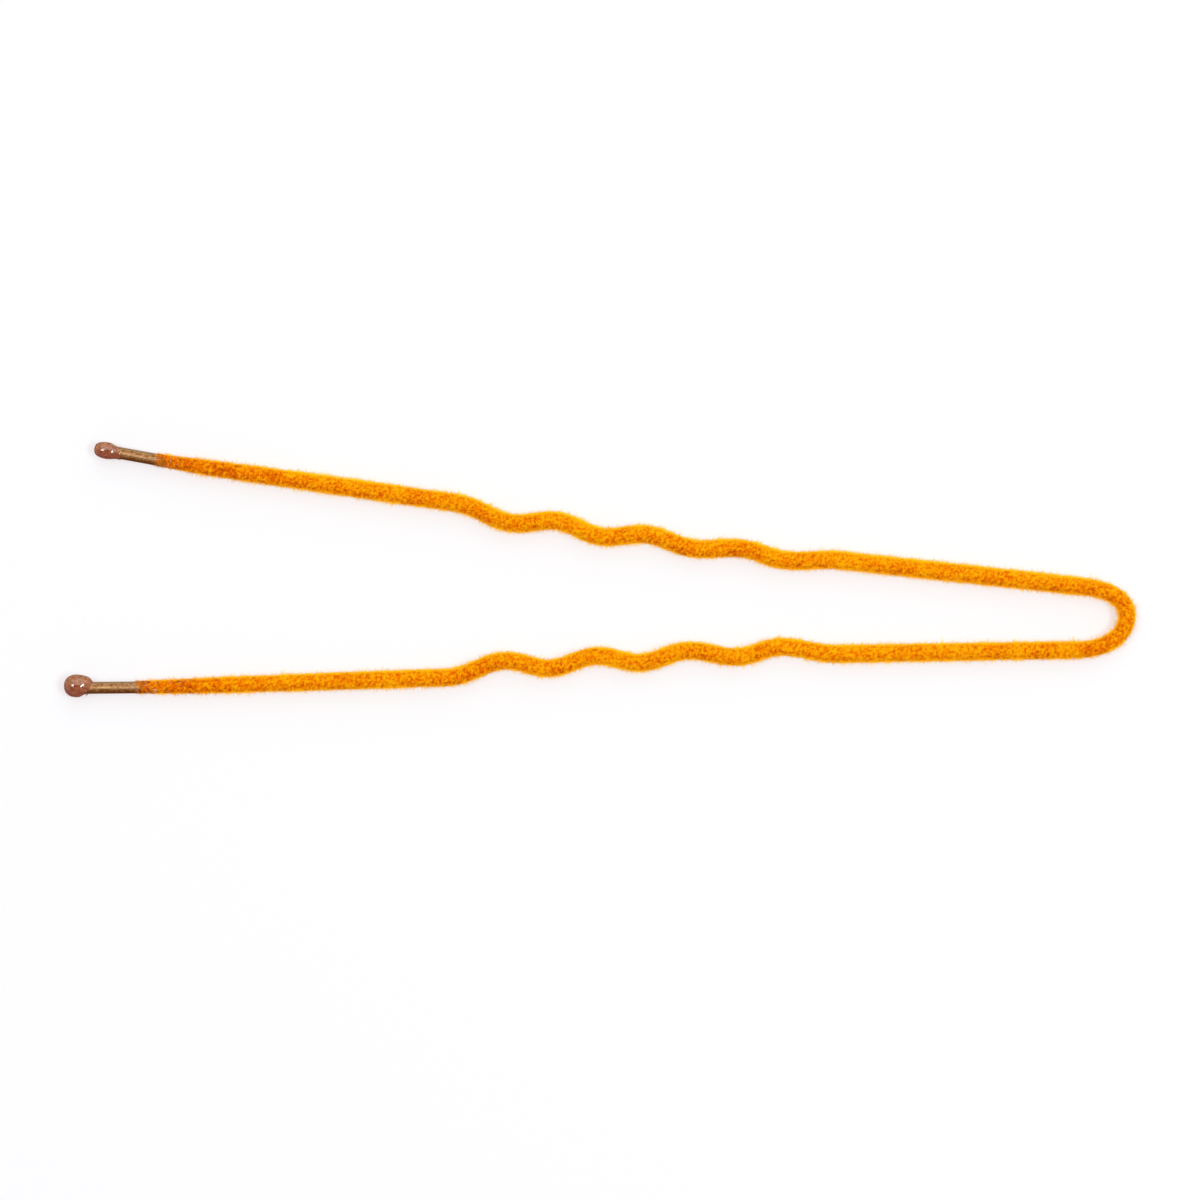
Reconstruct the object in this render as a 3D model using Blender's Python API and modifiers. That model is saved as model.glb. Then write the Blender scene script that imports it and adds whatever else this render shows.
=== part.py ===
"""A flocked hairpin: one spring wire bent to a U with a wave in each leg.

The pin lies flat. +X points to the bow, +Z is up, and the left leg is on +Y. Units are metres.
Each leg flexes at a hinge a little way below the bow, so wire, glue and pile are split there.
"""

import math

import bmesh
import bpy
from mathutils import Matrix, Vector
from mathutils.geometry import interpolate_bezier

MM = 0.001

# The whole pin, from the outside of the bow to the far end of the longer leg's tip.
PIN_LENGTH = 85.0 * MM

# The wire, and the coats that lie round it from the inside out.
WIRE_DIAMETER = 0.95 * MM
GLUE_THICKNESS = 0.06 * MM
PILE_LENGTH = 0.225 * MM
LAYER_GAP = 0.02 * MM

# The bow: its width and depth are measured on the wire's centreline.
BOW_WIDTH = 4.97 * MM
BOW_DEPTH = 3.4 * MM
BOW_ROUNDNESS_SHARE = 0.552

# Each leg flexes about this distance from the crown of the bow, where its pieces are split.
FLEX_FROM_CROWN = 12.5 * MM
FLEX_SPLIT = 0.3 * MM

# The wave: it starts this far from the crown, and its depth is measured from its own outer line.
WAVE_FROM_CROWN = 22.6 * MM
WAVE_RUN = 31.2 * MM
WAVE_DEPTH = 1.0 * MM
WAVE_DIP_SHARES = (0.158, 0.391, 0.624, 0.855)
WAVE_CREST_SHARES = (0.257, 0.507, 0.740)
CREST_DEPTH_SHARE = 0.23

# The pile is cut short towards its end, where the glue thins out: distances from that end.
PILE_TAPER_STEPS = (0.0, 1.8 * MM, 5.5 * MM, 8.0 * MM)
PILE_TAPER_SHARES = (0.15, 0.5, 0.88, 1.0)
GLUE_PAST_PILE = 0.25 * MM

# Each dipped tip: what lies past the wire's cut end, its width, and how far it reaches up the wire.
TIP_BEND_LENGTH = 5.2 * MM
TIP_SKIN = 0.06 * MM
TIP_LAND = 0.3 * MM
BALL_DIAMETER = 1.83 * MM
BALL_PAST_WIRE = 0.75 * MM
BALL_LENGTH = 2.05 * MM
BALL_OFFSET = 0.17 * MM
BALL_SHOULDER_POWER = 0.62
DROP_DIAMETER = 1.36 * MM
DROP_PAST_WIRE = 0.45 * MM
DROP_LENGTH = 2.1 * MM
DROP_OFFSET = 0.0 * MM
DROP_SHOULDER_POWER = 1.5

# Counts for the faceted solids.
SECTION_SIDES = 10
BOW_STEPS = 6
STEPS_PER_BEND = 3
TIP_STEPS = 16
TIP_ARC_STEPS = 5

# A bore's cutter runs past both ends of the piece that it opens.
CUT_OVERRUN = 0.5 * MM

GLUE_DIAMETER = WIRE_DIAMETER + 2 * (LAYER_GAP + GLUE_THICKNESS)
PILE_BORE = GLUE_DIAMETER + 2 * LAYER_GAP
PILE_DIAMETER = PILE_BORE + 2 * PILE_LENGTH

# What differs between the two legs. Shorter is how far a tip stops before the pin's full length,
# bare is the wire left showing between the resin and the glue, and the angles open from +X.
LEFT = {
    "side": 1,
    "shorter": 1.5 * MM,
    "bare": 2.65 * MM,
    "arm_angle": math.radians(3.4),
    "wave_angle": math.radians(5.75),
    "run_angle": math.radians(5.3),
    "tip_angle": math.radians(7.6),
    "dip_shares": (0.66, 0.82, 0.97, 0.96),
    "tip": (DROP_DIAMETER, DROP_PAST_WIRE, DROP_LENGTH, DROP_OFFSET, DROP_SHOULDER_POWER),
}
RIGHT = {
    "side": -1,
    "shorter": 0.0 * MM,
    "bare": 3.45 * MM,
    "arm_angle": math.radians(3.9),
    "wave_angle": math.radians(6.2),
    "run_angle": math.radians(4.65),
    "tip_angle": math.radians(3.3),
    "dip_shares": (0.86, 1.0, 1.03, 1.08),
    "tip": (BALL_DIAMETER, BALL_PAST_WIRE, BALL_LENGTH, BALL_OFFSET, BALL_SHOULDER_POWER),
}


def clear_scene():
    for item in list(bpy.data.objects):
        bpy.data.objects.remove(item, do_unlink=True)


def make_collection(name, hidden=False):
    collection = bpy.data.collections.new(name)
    collection.hide_render = hidden
    bpy.context.scene.collection.children.link(collection)
    return collection


def make_material(name, color, roughness, metallic):
    material = bpy.data.materials.new(name)
    material.use_nodes = True
    shader = material.node_tree.nodes["Principled BSDF"]
    shader.inputs["Base Color"].default_value = (*color, 1.0)
    shader.inputs["Roughness"].default_value = roughness
    shader.inputs["Metallic"].default_value = metallic
    return material


# The centreline

def wire_end(leg):
    """Distance from the crown's centreline to the wire's cut end, along the pin's axis."""
    past_wire = leg["tip"][1]
    return PIN_LENGTH - PILE_DIAMETER / 2 - leg["shorter"] - past_wire


def glue_end(leg):
    resin_on_wire = leg["tip"][2] - leg["tip"][1]
    return wire_end(leg) - resin_on_wire - leg["bare"]


def pile_end(leg):
    return glue_end(leg) - GLUE_PAST_PILE


def step_along(start, angle, length, aside=0.0):
    """The point this far along a line that opens by angle, and this far inside it."""
    along = Vector((-math.cos(angle), math.sin(angle)))
    inward = Vector((-math.sin(angle), -math.cos(angle)))
    return start + along * length + inward * aside


def wave_points(leg, start):
    """Half a cosine between each dip and the next crest, from the wave's start to its end."""
    dips = list(zip(WAVE_DIP_SHARES, leg["dip_shares"]))
    crests = [(share, CREST_DEPTH_SHARE) for share in WAVE_CREST_SHARES]
    knots = [(0.0, 0.0), *sorted(dips + crests), (1.0, 0.0)]
    points = []
    for (near, near_depth), (far, far_depth) in zip(knots, knots[1:]):
        for step in range(1, STEPS_PER_BEND + 1):
            share = step / STEPS_PER_BEND
            eased = (1 - math.cos(math.pi * share)) / 2
            along = WAVE_RUN * (near + (far - near) * share)
            depth = WAVE_DEPTH * (near_depth + (far_depth - near_depth) * eased)
            points.append(step_along(start, leg["wave_angle"], along, depth))
    return points


def bow_points(leg):
    """A quarter of the bow, from its crown to the start of the arm."""
    arm = Vector((-BOW_DEPTH, BOW_WIDTH / 2))
    crown = Vector((0.0, 0.0))
    crown_handle = Vector((0.0, BOW_ROUNDNESS_SHARE * BOW_WIDTH / 2))
    arm_handle = step_along(arm, leg["arm_angle"], -BOW_ROUNDNESS_SHARE * BOW_DEPTH)
    points = interpolate_bezier(crown, crown_handle, arm_handle, arm, BOW_STEPS + 1)
    return [Vector((point.x, point.y)) for point in points]


def to_distance(start, angle, distance):
    """The point on a line that opens by angle, at a distance from the crown along the pin's axis."""
    return step_along(start, angle, (distance + start.x) / math.cos(angle))


def centreline(leg):
    """The leg's whole centreline from the crown to the wire's cut end, with the crown at zero."""
    points = bow_points(leg)
    points.append(to_distance(points[-1], leg["arm_angle"], WAVE_FROM_CROWN))
    points += wave_points(leg, points[-1])
    bend = wire_end(leg) - TIP_BEND_LENGTH
    run_start = points[-1]
    for step in reversed(PILE_TAPER_STEPS):
        distance = pile_end(leg) - step
        if -run_start.x < distance < bend:
            points.append(to_distance(run_start, leg["run_angle"], distance))
    points.append(to_distance(run_start, leg["run_angle"], bend))
    points.append(to_distance(points[-1], leg["tip_angle"], wire_end(leg)))
    return [Vector((point.x, leg["side"] * point.y)) for point in points]


def at_distance(points, distance):
    """The point of a centreline at a distance from the crown along the pin's axis."""
    for near, far in zip(points, points[1:]):
        if -near.x <= distance <= -far.x:
            return near.lerp(far, (distance + near.x) / (near.x - far.x))
    direction = (points[-1] - points[-2]).normalized()
    return points[-1] + direction * (distance + points[-1].x) / -direction.x


def stretch(leg, start, end):
    """The points of the centreline between two distances from the crown, both included."""
    points = centreline(leg)
    inside = [point for point in points if start + LAYER_GAP < -point.x < end - LAYER_GAP]
    return [at_distance(points, start), *inside, at_distance(points, end)]


def bow_stretch(reach):
    """The centreline round the bow, from the left arm to the right arm."""
    left = stretch(LEFT, 0.0, reach)
    right = stretch(RIGHT, 0.0, reach)
    return [*reversed(left), *right[1:]]


# Solids

def weld(mesh):
    shape = bmesh.new()
    shape.from_mesh(mesh)
    bmesh.ops.remove_doubles(shape, verts=shape.verts, dist=LAYER_GAP / 10)
    bmesh.ops.recalc_face_normals(shape, faces=shape.faces)
    shape.to_mesh(mesh)
    shape.free()


def add_object(name, data, collection, material=None):
    item = bpy.data.objects.new(name, data)
    collection.objects.link(item)
    if material:
        data.materials.append(material)
    return item


def add_tube(name, path, diameters, collection, material=None):
    """A closed tube along a flat path, with a flat side up and a flat side down."""
    curve = bpy.data.curves.new(name, "CURVE")
    curve.dimensions = "3D"
    curve.twist_mode = "Z_UP"
    curve.bevel_depth = 0.5 / math.cos(math.pi / SECTION_SIDES)
    curve.bevel_resolution = (SECTION_SIDES - 4) // 2
    curve.use_fill_caps = True
    spline = curve.splines.new("POLY")
    spline.points.add(len(path) - 1)
    for point, place, diameter in zip(spline.points, path, diameters):
        point.co = (place.x, place.y, 0.0, 1.0)
        point.radius = diameter
    guide = add_object(name + "_curve", curve, collection)
    bpy.context.view_layer.update()
    evaluated = guide.evaluated_get(bpy.context.evaluated_depsgraph_get())
    mesh = bpy.data.meshes.new_from_object(evaluated)
    weld(mesh)
    tube = add_object(name, mesh, collection, material)
    tube.matrix_world = guide.matrix_world
    bpy.data.objects.remove(guide, do_unlink=True)
    mesh.shade_smooth()
    mesh.set_sharp_from_angle(angle=math.radians(50))
    return tube


def cut_bore(piece, path, diameter, cutters):
    """Opens a round bore through a piece, along a path that runs past its ends."""
    cutter = add_tube(piece.name + "_bore", path, [diameter] * len(path), cutters)
    cutter.hide_render = True
    cutter.display_type = "WIRE"
    bore = piece.modifiers.new("bore", "BOOLEAN")
    bore.operation = "DIFFERENCE"
    bore.object = cutter
    return cutter


def pile_diameter(leg, point):
    """The pile's outer diameter, which falls away towards its end."""
    from_end = pile_end(leg) + point.x
    for i, step in enumerate(PILE_TAPER_STEPS[1:]):
        if from_end < step:
            near = PILE_TAPER_STEPS[i]
            share = (from_end - near) / (step - near)
            height = PILE_TAPER_SHARES[i] + (PILE_TAPER_SHARES[i + 1] - PILE_TAPER_SHARES[i]) * share
            return PILE_BORE + 2 * PILE_LENGTH * height
    return PILE_DIAMETER


def tip_profile(diameter, past_wire, length, power):
    """The turned outline of a dipped tip, from its far pole down to the wire."""
    neck = WIRE_DIAMETER / 2 + LAYER_GAP + TIP_SKIN
    radius = diameter / 2
    widest = past_wire - radius
    points = []
    for step in range(TIP_ARC_STEPS + 1):
        angle = math.pi / 2 * step / TIP_ARC_STEPS
        points.append((radius * math.sin(angle), widest + radius * math.cos(angle)))
    bottom = past_wire - length
    shoulder = widest - TIP_LAND
    for step in range(TIP_ARC_STEPS + 1):
        share = math.sin(math.pi / 2 * step / TIP_ARC_STEPS)
        height = (1 - share * share) ** power
        points.append((neck + (radius - neck) * height, shoulder + (bottom - shoulder) * share))
    points.append((0.0, bottom))
    return points


def add_tip(name, leg, collection, cutters, material):
    """A drop of resin turned round the wire's end, bored for the wire."""
    diameter, past_wire, length, offset, power = leg["tip"]
    line = centreline(leg)
    end = line[-1]
    outward = (line[-1] - line[-2]).normalized()
    outward = Vector((outward.x, outward.y, 0.0))
    up = Vector((0.0, 0.0, 1.0))
    across = outward.cross(up)
    inward = Vector((0.0, -leg["side"], 0.0))

    profile = tip_profile(diameter, past_wire, length, power)
    flat = 1 / math.cos(math.pi / TIP_STEPS)
    mesh = bpy.data.meshes.new(name)
    points = [(x * flat, 0.0, z) for x, z in profile]
    mesh.from_pydata(points, [(i, i + 1) for i in range(len(points) - 1)], [])
    tip = add_object(name, mesh, collection, material)
    turn = tip.modifiers.new("turn", "SCREW")
    turn.axis = "Z"
    turn.steps = TIP_STEPS
    turn.render_steps = TIP_STEPS
    turn.use_merge_vertices = True
    turn.merge_threshold = LAYER_GAP / 10
    centre = Vector((end.x, end.y, 0.0)) + inward * offset
    facing = Matrix((up, across, outward)).transposed().to_4x4()
    half_step = Matrix.Rotation(math.pi / TIP_STEPS, 4, "Z")
    tip.matrix_world = Matrix.Translation(centre) @ facing @ half_step

    bore_end = wire_end(leg) + LAYER_GAP
    resin_end = wire_end(leg) - (length - past_wire)
    bore_path = stretch(leg, resin_end - CUT_OVERRUN, bore_end)
    cutter = cut_bore(tip, bore_path, WIRE_DIAMETER + 2 * LAYER_GAP, cutters)
    return tip, cutter


# The pin's pieces

def add_bow(collection, cutters, materials):
    reach = FLEX_FROM_CROWN - FLEX_SPLIT / 2
    path = bow_stretch(reach)
    bore_path = bow_stretch(reach + CUT_OVERRUN)
    wire = add_tube("wire_bow", path, [WIRE_DIAMETER] * len(path), collection, materials["wire"])
    glue = add_tube("glue_bow", path, [GLUE_DIAMETER] * len(path), collection, materials["glue"])
    pile = add_tube("flock_bow", path, [PILE_DIAMETER] * len(path), collection, materials["flock"])
    glue_bore = cut_bore(glue, bore_path, WIRE_DIAMETER + 2 * LAYER_GAP, cutters)
    pile_bore = cut_bore(pile, bore_path, PILE_BORE, cutters)
    return [wire, glue, pile, glue_bore, pile_bore]


def add_leg(name, leg, collection, cutters, materials):
    start = FLEX_FROM_CROWN + FLEX_SPLIT / 2
    bore_start = start - CUT_OVERRUN
    path = stretch(leg, start, wire_end(leg))
    wire = add_tube("wire_" + name, path, [WIRE_DIAMETER] * len(path), collection, materials["wire"])

    path = stretch(leg, start, glue_end(leg))
    glue = add_tube("glue_" + name, path, [GLUE_DIAMETER] * len(path), collection, materials["glue"])
    bore_path = stretch(leg, bore_start, glue_end(leg) + CUT_OVERRUN)
    glue_bore = cut_bore(glue, bore_path, WIRE_DIAMETER + 2 * LAYER_GAP, cutters)

    path = stretch(leg, start, pile_end(leg))
    diameters = [pile_diameter(leg, point) for point in path]
    pile = add_tube("flock_" + name, path, diameters, collection, materials["flock"])
    bore_path = stretch(leg, bore_start, pile_end(leg) + CUT_OVERRUN)
    pile_bore = cut_bore(pile, bore_path, PILE_BORE, cutters)
    return [wire, glue, pile, glue_bore, pile_bore]


def add_empty(name, place, collection, parent=None):
    empty = add_object(name, None, collection)
    empty.location = place
    empty.parent = parent
    return empty


def hang_on(empty, pieces):
    """Hands the pieces to an empty, leaving each where it is in the pin's frame."""
    for piece in pieces:
        piece.matrix_world = Matrix.Translation(-empty.location) @ piece.matrix_world
        piece.parent = empty


def lowest_and_highest(pieces):
    bpy.context.view_layer.update()
    graph = bpy.context.evaluated_depsgraph_get()
    places = []
    for piece in pieces:
        evaluated = piece.evaluated_get(graph)
        places += [evaluated.matrix_world @ vertex.co for vertex in evaluated.to_mesh().vertices]
        evaluated.to_mesh_clear()
    low = Vector(min(place[i] for place in places) for i in range(3))
    high = Vector(max(place[i] for place in places) for i in range(3))
    return low, high


def build():
    clear_scene()
    parts = make_collection("hairpin")
    cutters = make_collection("hairpin cutters", hidden=True)
    materials = {
        "wire": make_material("bronze_wire", (0.42, 0.27, 0.12), 0.34, 0.9),
        "glue": make_material("glue", (0.80, 0.55, 0.42), 0.6, 0.0),
        "flock": make_material("orange_flock", (1.0, 0.33, 0.0), 0.95, 0.0),
        "resin": make_material("resin", (0.35, 0.13, 0.08), 0.2, 0.0),
    }
    pin = add_empty("pin", (0.0, 0.0, 0.0), parts)
    bow = add_bow(parts, cutters, materials)
    hang_on(pin, bow)
    pieces = bow[:3]
    for name, leg, tip_name in (("left_leg", LEFT, "drop_tip_left"), ("right_leg", RIGHT, "ball_tip_right")):
        pivot = at_distance(centreline(leg), FLEX_FROM_CROWN)
        flex = add_empty(name + "_flex", (pivot.x, pivot.y, 0.0), parts, pin)
        layers = add_leg(name, leg, parts, cutters, materials)
        tip = add_tip(tip_name, leg, parts, cutters, materials["resin"])
        hang_on(flex, [*layers, *tip])
        pieces += [*layers[:3], tip[0]]
    low, high = lowest_and_highest(pieces)
    pin.location = (-(low.x + high.x) / 2, -(low.y + high.y) / 2, -low.z)


build()
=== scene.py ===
# %% [markdown]
# # A flocked hairpin
# This pin is one spring wire, bent to a narrow U with a wave in each leg. It is painted with glue and
# flocked with short orange fibres, and each bare end is dipped in resin. The imported CAD model gives the
# true places, so it is loaded first, and each visible piece is then built over the solid that it stands
# for.

# %% Load the imported model
import math

import bpy
from mathutils import Matrix, Vector
from mathutils.geometry import interpolate_bezier


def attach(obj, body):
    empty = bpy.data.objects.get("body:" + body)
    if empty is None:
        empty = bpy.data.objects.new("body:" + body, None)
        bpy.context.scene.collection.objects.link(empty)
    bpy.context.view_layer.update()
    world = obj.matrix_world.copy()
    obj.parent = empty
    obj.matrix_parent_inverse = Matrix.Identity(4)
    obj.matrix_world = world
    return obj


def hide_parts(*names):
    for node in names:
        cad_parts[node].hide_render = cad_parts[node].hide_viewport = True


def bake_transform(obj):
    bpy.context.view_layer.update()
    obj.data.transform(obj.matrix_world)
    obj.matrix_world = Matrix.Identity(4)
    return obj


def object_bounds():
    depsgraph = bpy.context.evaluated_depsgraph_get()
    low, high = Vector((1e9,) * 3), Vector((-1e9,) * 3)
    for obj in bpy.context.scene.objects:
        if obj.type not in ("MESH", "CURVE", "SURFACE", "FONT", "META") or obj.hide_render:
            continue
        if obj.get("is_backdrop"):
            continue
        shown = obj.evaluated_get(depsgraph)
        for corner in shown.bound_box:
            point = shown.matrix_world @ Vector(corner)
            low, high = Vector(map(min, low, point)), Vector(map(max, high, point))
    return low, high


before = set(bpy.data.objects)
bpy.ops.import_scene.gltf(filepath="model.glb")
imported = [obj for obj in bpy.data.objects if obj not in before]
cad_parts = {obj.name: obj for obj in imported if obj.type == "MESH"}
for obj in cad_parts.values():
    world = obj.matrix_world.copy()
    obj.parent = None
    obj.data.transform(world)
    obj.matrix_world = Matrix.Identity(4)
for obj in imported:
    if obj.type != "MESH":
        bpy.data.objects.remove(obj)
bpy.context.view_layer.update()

MM = 0.001

# %% [markdown]
# ## The camera
# The photograph looks straight down on the pin from far away, so its legs show no perspective. A long
# lens high above the table does the same. The frame's width in real millimetres and the pin's small
# turn on the table fix the rest, so the lens only has to be long enough.

# %% Camera
WIRE_HEIGHT = 0.915 * MM
VIEW_WIDTH = 95.54 * MM
VIEW_CENTRE = (-0.231 * MM, -0.482 * MM)
VIEW_TURN = math.radians(2.75)
LENS = 100.0
SENSOR = 36.0

view_height = WIRE_HEIGHT + VIEW_WIDTH * LENS / SENSOR
bpy.ops.object.camera_add(location=(*VIEW_CENTRE, view_height), rotation=(0.0, 0.0, VIEW_TURN))
camera = bpy.context.object
camera.data.lens = LENS
camera.data.sensor_width = SENSOR
camera.data.clip_start = 0.01
camera.data.clip_end = 10.0
bpy.context.scene.camera = camera
bpy.context.scene.view_settings.view_transform = "Standard"
print("camera height in mm", round(view_height / MM, 1))

# %% [markdown]
# ## The pin's line
# All the layers follow one line, the middle of the wire, so the line is worked out once. It starts at
# the crown of the bow and runs down a leg: a quarter of the bow, a straight arm, the wave, a straight
# run, and the last stretch that was bent a little when the tip was dipped. These are the CAD model's
# sizes, except that the bow is up to 0.2 mm fuller on one side, as it is in the picture. The line here
# has more points than the solid's, and its corners are rounded, as a real wire has no kinks.

# %% Sizes of the pin
CROWN = Vector((41.6788 * MM, -0.0298 * MM, WIRE_HEIGHT))
WIRE_RADIUS = 0.475 * MM
BOW_DEPTH = 3.4 * MM
CROWN_REACH = 0.07 * MM
CROWN_SHIFT = 0.23 * MM
CROWN_ROUNDNESS = 0.68
ARM_ROUNDNESS = 0.44
WAVE_FROM_CROWN = 22.6 * MM
WAVE_RUN = 31.2 * MM
WAVE_DEPTH = 1.0 * MM
DIP_SHARES = (0.158, 0.391, 0.624, 0.855)
CREST_SHARES = (0.257, 0.507, 0.740)
CREST_DEPTH_SHARE = 0.23
TIP_BEND_LENGTH = 5.2 * MM

LEFT = {
    "body": "left_leg",
    "side": 1,
    "wire_end": 82.25 * MM,
    "glue_end": 77.95 * MM,
    "bow_half": 2.485 * MM,
    "arm": math.radians(3.4),
    "wave": math.radians(5.75),
    "shaded_flank": math.radians(5.3),
    "tip": math.radians(7.6),
    "dips": (0.66, 0.82, 0.97, 0.96),
    "glue_lean": -0.03 * MM,
    "pile_trim": 0.0,
}
RIGHT = {
    "body": "right_leg",
    "side": -1,
    "wire_end": 83.45 * MM,
    "glue_end": 78.70 * MM,
    "bow_half": 2.55 * MM,
    "arm": math.radians(3.7),
    "wave": math.radians(6.2),
    "shaded_flank": math.radians(4.65),
    "tip": math.radians(3.3),
    "dips": (0.86, 1.0, 1.03, 1.08),
    "glue_lean": 0.03 * MM,
    "pile_trim": 0.02 * MM,
}

# %% Points down one leg
BOW_STEPS = 24
BEND_STEPS = 10


def step_along(start, angle, length, aside=0.0):
    """The point this far along a line that opens by angle, and this far inside it."""
    along = Vector((-math.cos(angle), math.sin(angle)))
    inward = Vector((-math.sin(angle), -math.cos(angle)))
    return start + along * length + inward * aside


def to_distance(start, angle, distance):
    """The point on such a line at a distance from the crown, measured along the pin."""
    return step_along(start, angle, (distance + start.x) / math.cos(angle))


def bow_points(leg):
    """A quarter of the bow, from the crown to the arm, for a leg on the +Y side."""
    arm = Vector((-BOW_DEPTH, leg["bow_half"]))
    crown = Vector((CROWN_REACH, leg["side"] * CROWN_SHIFT))
    crown_handle = crown + Vector((0.0, CROWN_ROUNDNESS * leg["bow_half"]))
    arm_handle = step_along(arm, leg["arm"], -ARM_ROUNDNESS * BOW_DEPTH)
    points = interpolate_bezier(crown, crown_handle, arm_handle, arm, BOW_STEPS + 1)
    return [Vector((point.x, point.y)) for point in points]


def wave_points(leg, start):
    """Dips and crests that ease into each other, as a bent wire does."""
    dips = list(zip(DIP_SHARES, leg["dips"]))
    crests = [(share, CREST_DEPTH_SHARE) for share in CREST_SHARES]
    knots = [(0.0, 0.0), *sorted(dips + crests), (1.0, 0.0)]
    points = []
    for (near, near_depth), (far, far_depth) in zip(knots, knots[1:]):
        for step in range(1, BEND_STEPS + 1):
            share = step / BEND_STEPS
            eased = (1 - math.cos(math.pi * share)) / 2
            along = WAVE_RUN * (near + (far - near) * share)
            depth = WAVE_DEPTH * (near_depth + (far_depth - near_depth) * eased)
            points.append(step_along(start, leg["wave"], along, depth))
    return points


def leg_points(leg):
    points = bow_points(leg)
    points.append(to_distance(points[-1], leg["arm"], WAVE_FROM_CROWN))
    points += wave_points(leg, points[-1])
    points.append(to_distance(points[-1], leg["shaded_flank"], leg["wire_end"] - TIP_BEND_LENGTH))
    points.append(to_distance(points[-1], leg["tip"], leg["wire_end"]))
    return [Vector((point.x, leg["side"] * point.y)) for point in points]


# %% One smooth line round the whole pin
SPACING = 0.35 * MM
SOFTENINGS = 2


def even_points(points):
    """The same line with points at even distances, both ends kept."""
    lengths = [(b - a).length for a, b in zip(points, points[1:])]
    count = round(sum(lengths) / SPACING)
    even, place, passed = [points[0]], 0, 0.0
    for step in range(1, count):
        wanted = sum(lengths) * step / count
        while passed + lengths[place] < wanted:
            passed += lengths[place]
            place += 1
        share = (wanted - passed) / lengths[place]
        even.append(points[place].lerp(points[place + 1], share))
    return [*even, points[-1]]


def soften(points):
    """Rounds off the corners of the legs. The bow is round already."""
    middle = [
        b if b.x > -BOW_DEPTH / 2 else (a + b * 2 + c) / 4
        for a, b, c in zip(points, points[1:], points[2:])
    ]
    return [points[0], *middle, points[-1]]


left_line = even_points(leg_points(LEFT))
right_line = even_points(leg_points(RIGHT))
whole_line = [*reversed(left_line), *right_line[1:]]
for _ in range(SOFTENINGS):
    whole_line = soften(whole_line)
whole_line = [CROWN + Vector((point.x, point.y, 0.0)) for point in whole_line]
LEFT["line"] = whole_line[len(left_line) - 1::-1]
RIGHT["line"] = whole_line[len(left_line) - 1:]
print("points down each leg", len(LEFT["line"]), len(RIGHT["line"]))
print("crown in mm", [round(value / MM, 3) for value in LEFT["line"][0]])


# %% Cut the line where a layer ends
def line_until(leg, distance):
    """The leg's line from the crown to this distance from it, measured along the pin."""
    stop = CROWN.x - distance
    inside = [point for point in leg["line"] if point.x > stop]
    after = leg["line"][min(len(inside), len(leg["line"]) - 1)]
    before = inside[-1]
    if before.x - after.x > 0:
        inside.append(before.lerp(after, (before.x - stop) / (before.x - after.x)))
    return inside


# %% [markdown]
# ## Tubes along the line
# Wire, glue and pile could each be a circle that is extruded round by round along the line. A curve
# with a round bevel is quicker and keeps every ring square to the line, and its points can be thick or
# thin. The curve is made a mesh once it is right, so that edit mode can work on its ends: the ring at
# the crown is pressed flat there, so that both halves of a layer meet without a gap.

# %% Helpers for objects and edit mode
def only(item):
    """Makes this the one selected object, and the active one."""
    bpy.ops.object.select_all(action="DESELECT")
    item.select_set(True)
    bpy.context.view_layer.objects.active = item


def edit(item):
    only(item)
    bpy.ops.object.mode_set(mode="EDIT")


def leave_edit():
    bpy.ops.object.mode_set(mode="OBJECT")


def pick(item, wanted, kind="VERT"):
    """Selects the vertices or faces whose place passes a test, and enters edit mode."""
    edit(item)
    bpy.ops.mesh.select_mode(type=kind)
    bpy.ops.mesh.select_all(action="DESELECT")
    leave_edit()
    for part in item.data.vertices if kind == "VERT" else item.data.polygons:
        part.select = wanted(part.co if kind == "VERT" else part.center)
    bpy.ops.object.mode_set(mode="EDIT")


WELD = 0.002 * MM


def tidy_mesh(item):
    """Merges doubles and turns the faces outwards."""
    edit(item)
    bpy.ops.mesh.select_all(action="SELECT")
    bpy.ops.mesh.remove_doubles(threshold=WELD)
    bpy.ops.mesh.normals_make_consistent(inside=False)
    leave_edit()


# %% A tube from a curve
SHARP_FROM = math.radians(50)
CROWN_RING = 0.04 * MM


def lay_tube(name, path, radii, sides):
    """A closed tube with a ring of this many sides round each point of the path."""
    bpy.ops.object.select_all(action="DESELECT")
    bpy.ops.curve.primitive_nurbs_path_add(location=(0.0, 0.0, 0.0))
    tube = bpy.context.object
    tube.name = name
    tube.data.splines.clear()
    spline = tube.data.splines.new("POLY")
    spline.points.add(len(path) - 1)
    for point, place, radius in zip(spline.points, path, radii):
        point.co = (*place, 1.0)
        point.radius = radius / MM
    tube.data.twist_mode = "Z_UP"
    tube.data.bevel_depth = 1.0 * MM
    # A bevel has twice its resolution and four more sides.
    tube.data.bevel_resolution = (sides - 4) // 2
    tube.data.use_fill_caps = True
    bpy.ops.object.convert(target="MESH")
    tidy_mesh(tube)
    crown = path[0]
    pick(tube, lambda place: abs(place.y - crown.y) < CROWN_RING and place.x > crown.x - BOW_DEPTH)
    bpy.ops.transform.resize(value=(1.0, 0.0, 1.0), center_override=crown)
    leave_edit()
    bpy.ops.object.shade_smooth_by_angle(angle=SHARP_FROM)
    return tube


# %% [markdown]
# ## The wire
# The wire is spring steel of 0.95 mm under a bronze lacquer. It runs through the whole pin, and shows
# only for three millimetres before each tip. Its end was cut by a machine, which leaves a small
# chamfer, so the end face is extruded and narrowed, although resin hides it. How far a place faces
# away from the key light is kept as an attribute, so that its colour can carry painted shade.

# %% Two halves of wire
WIRE_SIDES = 32
CUT_CHAMFER = 0.07 * MM


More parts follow.
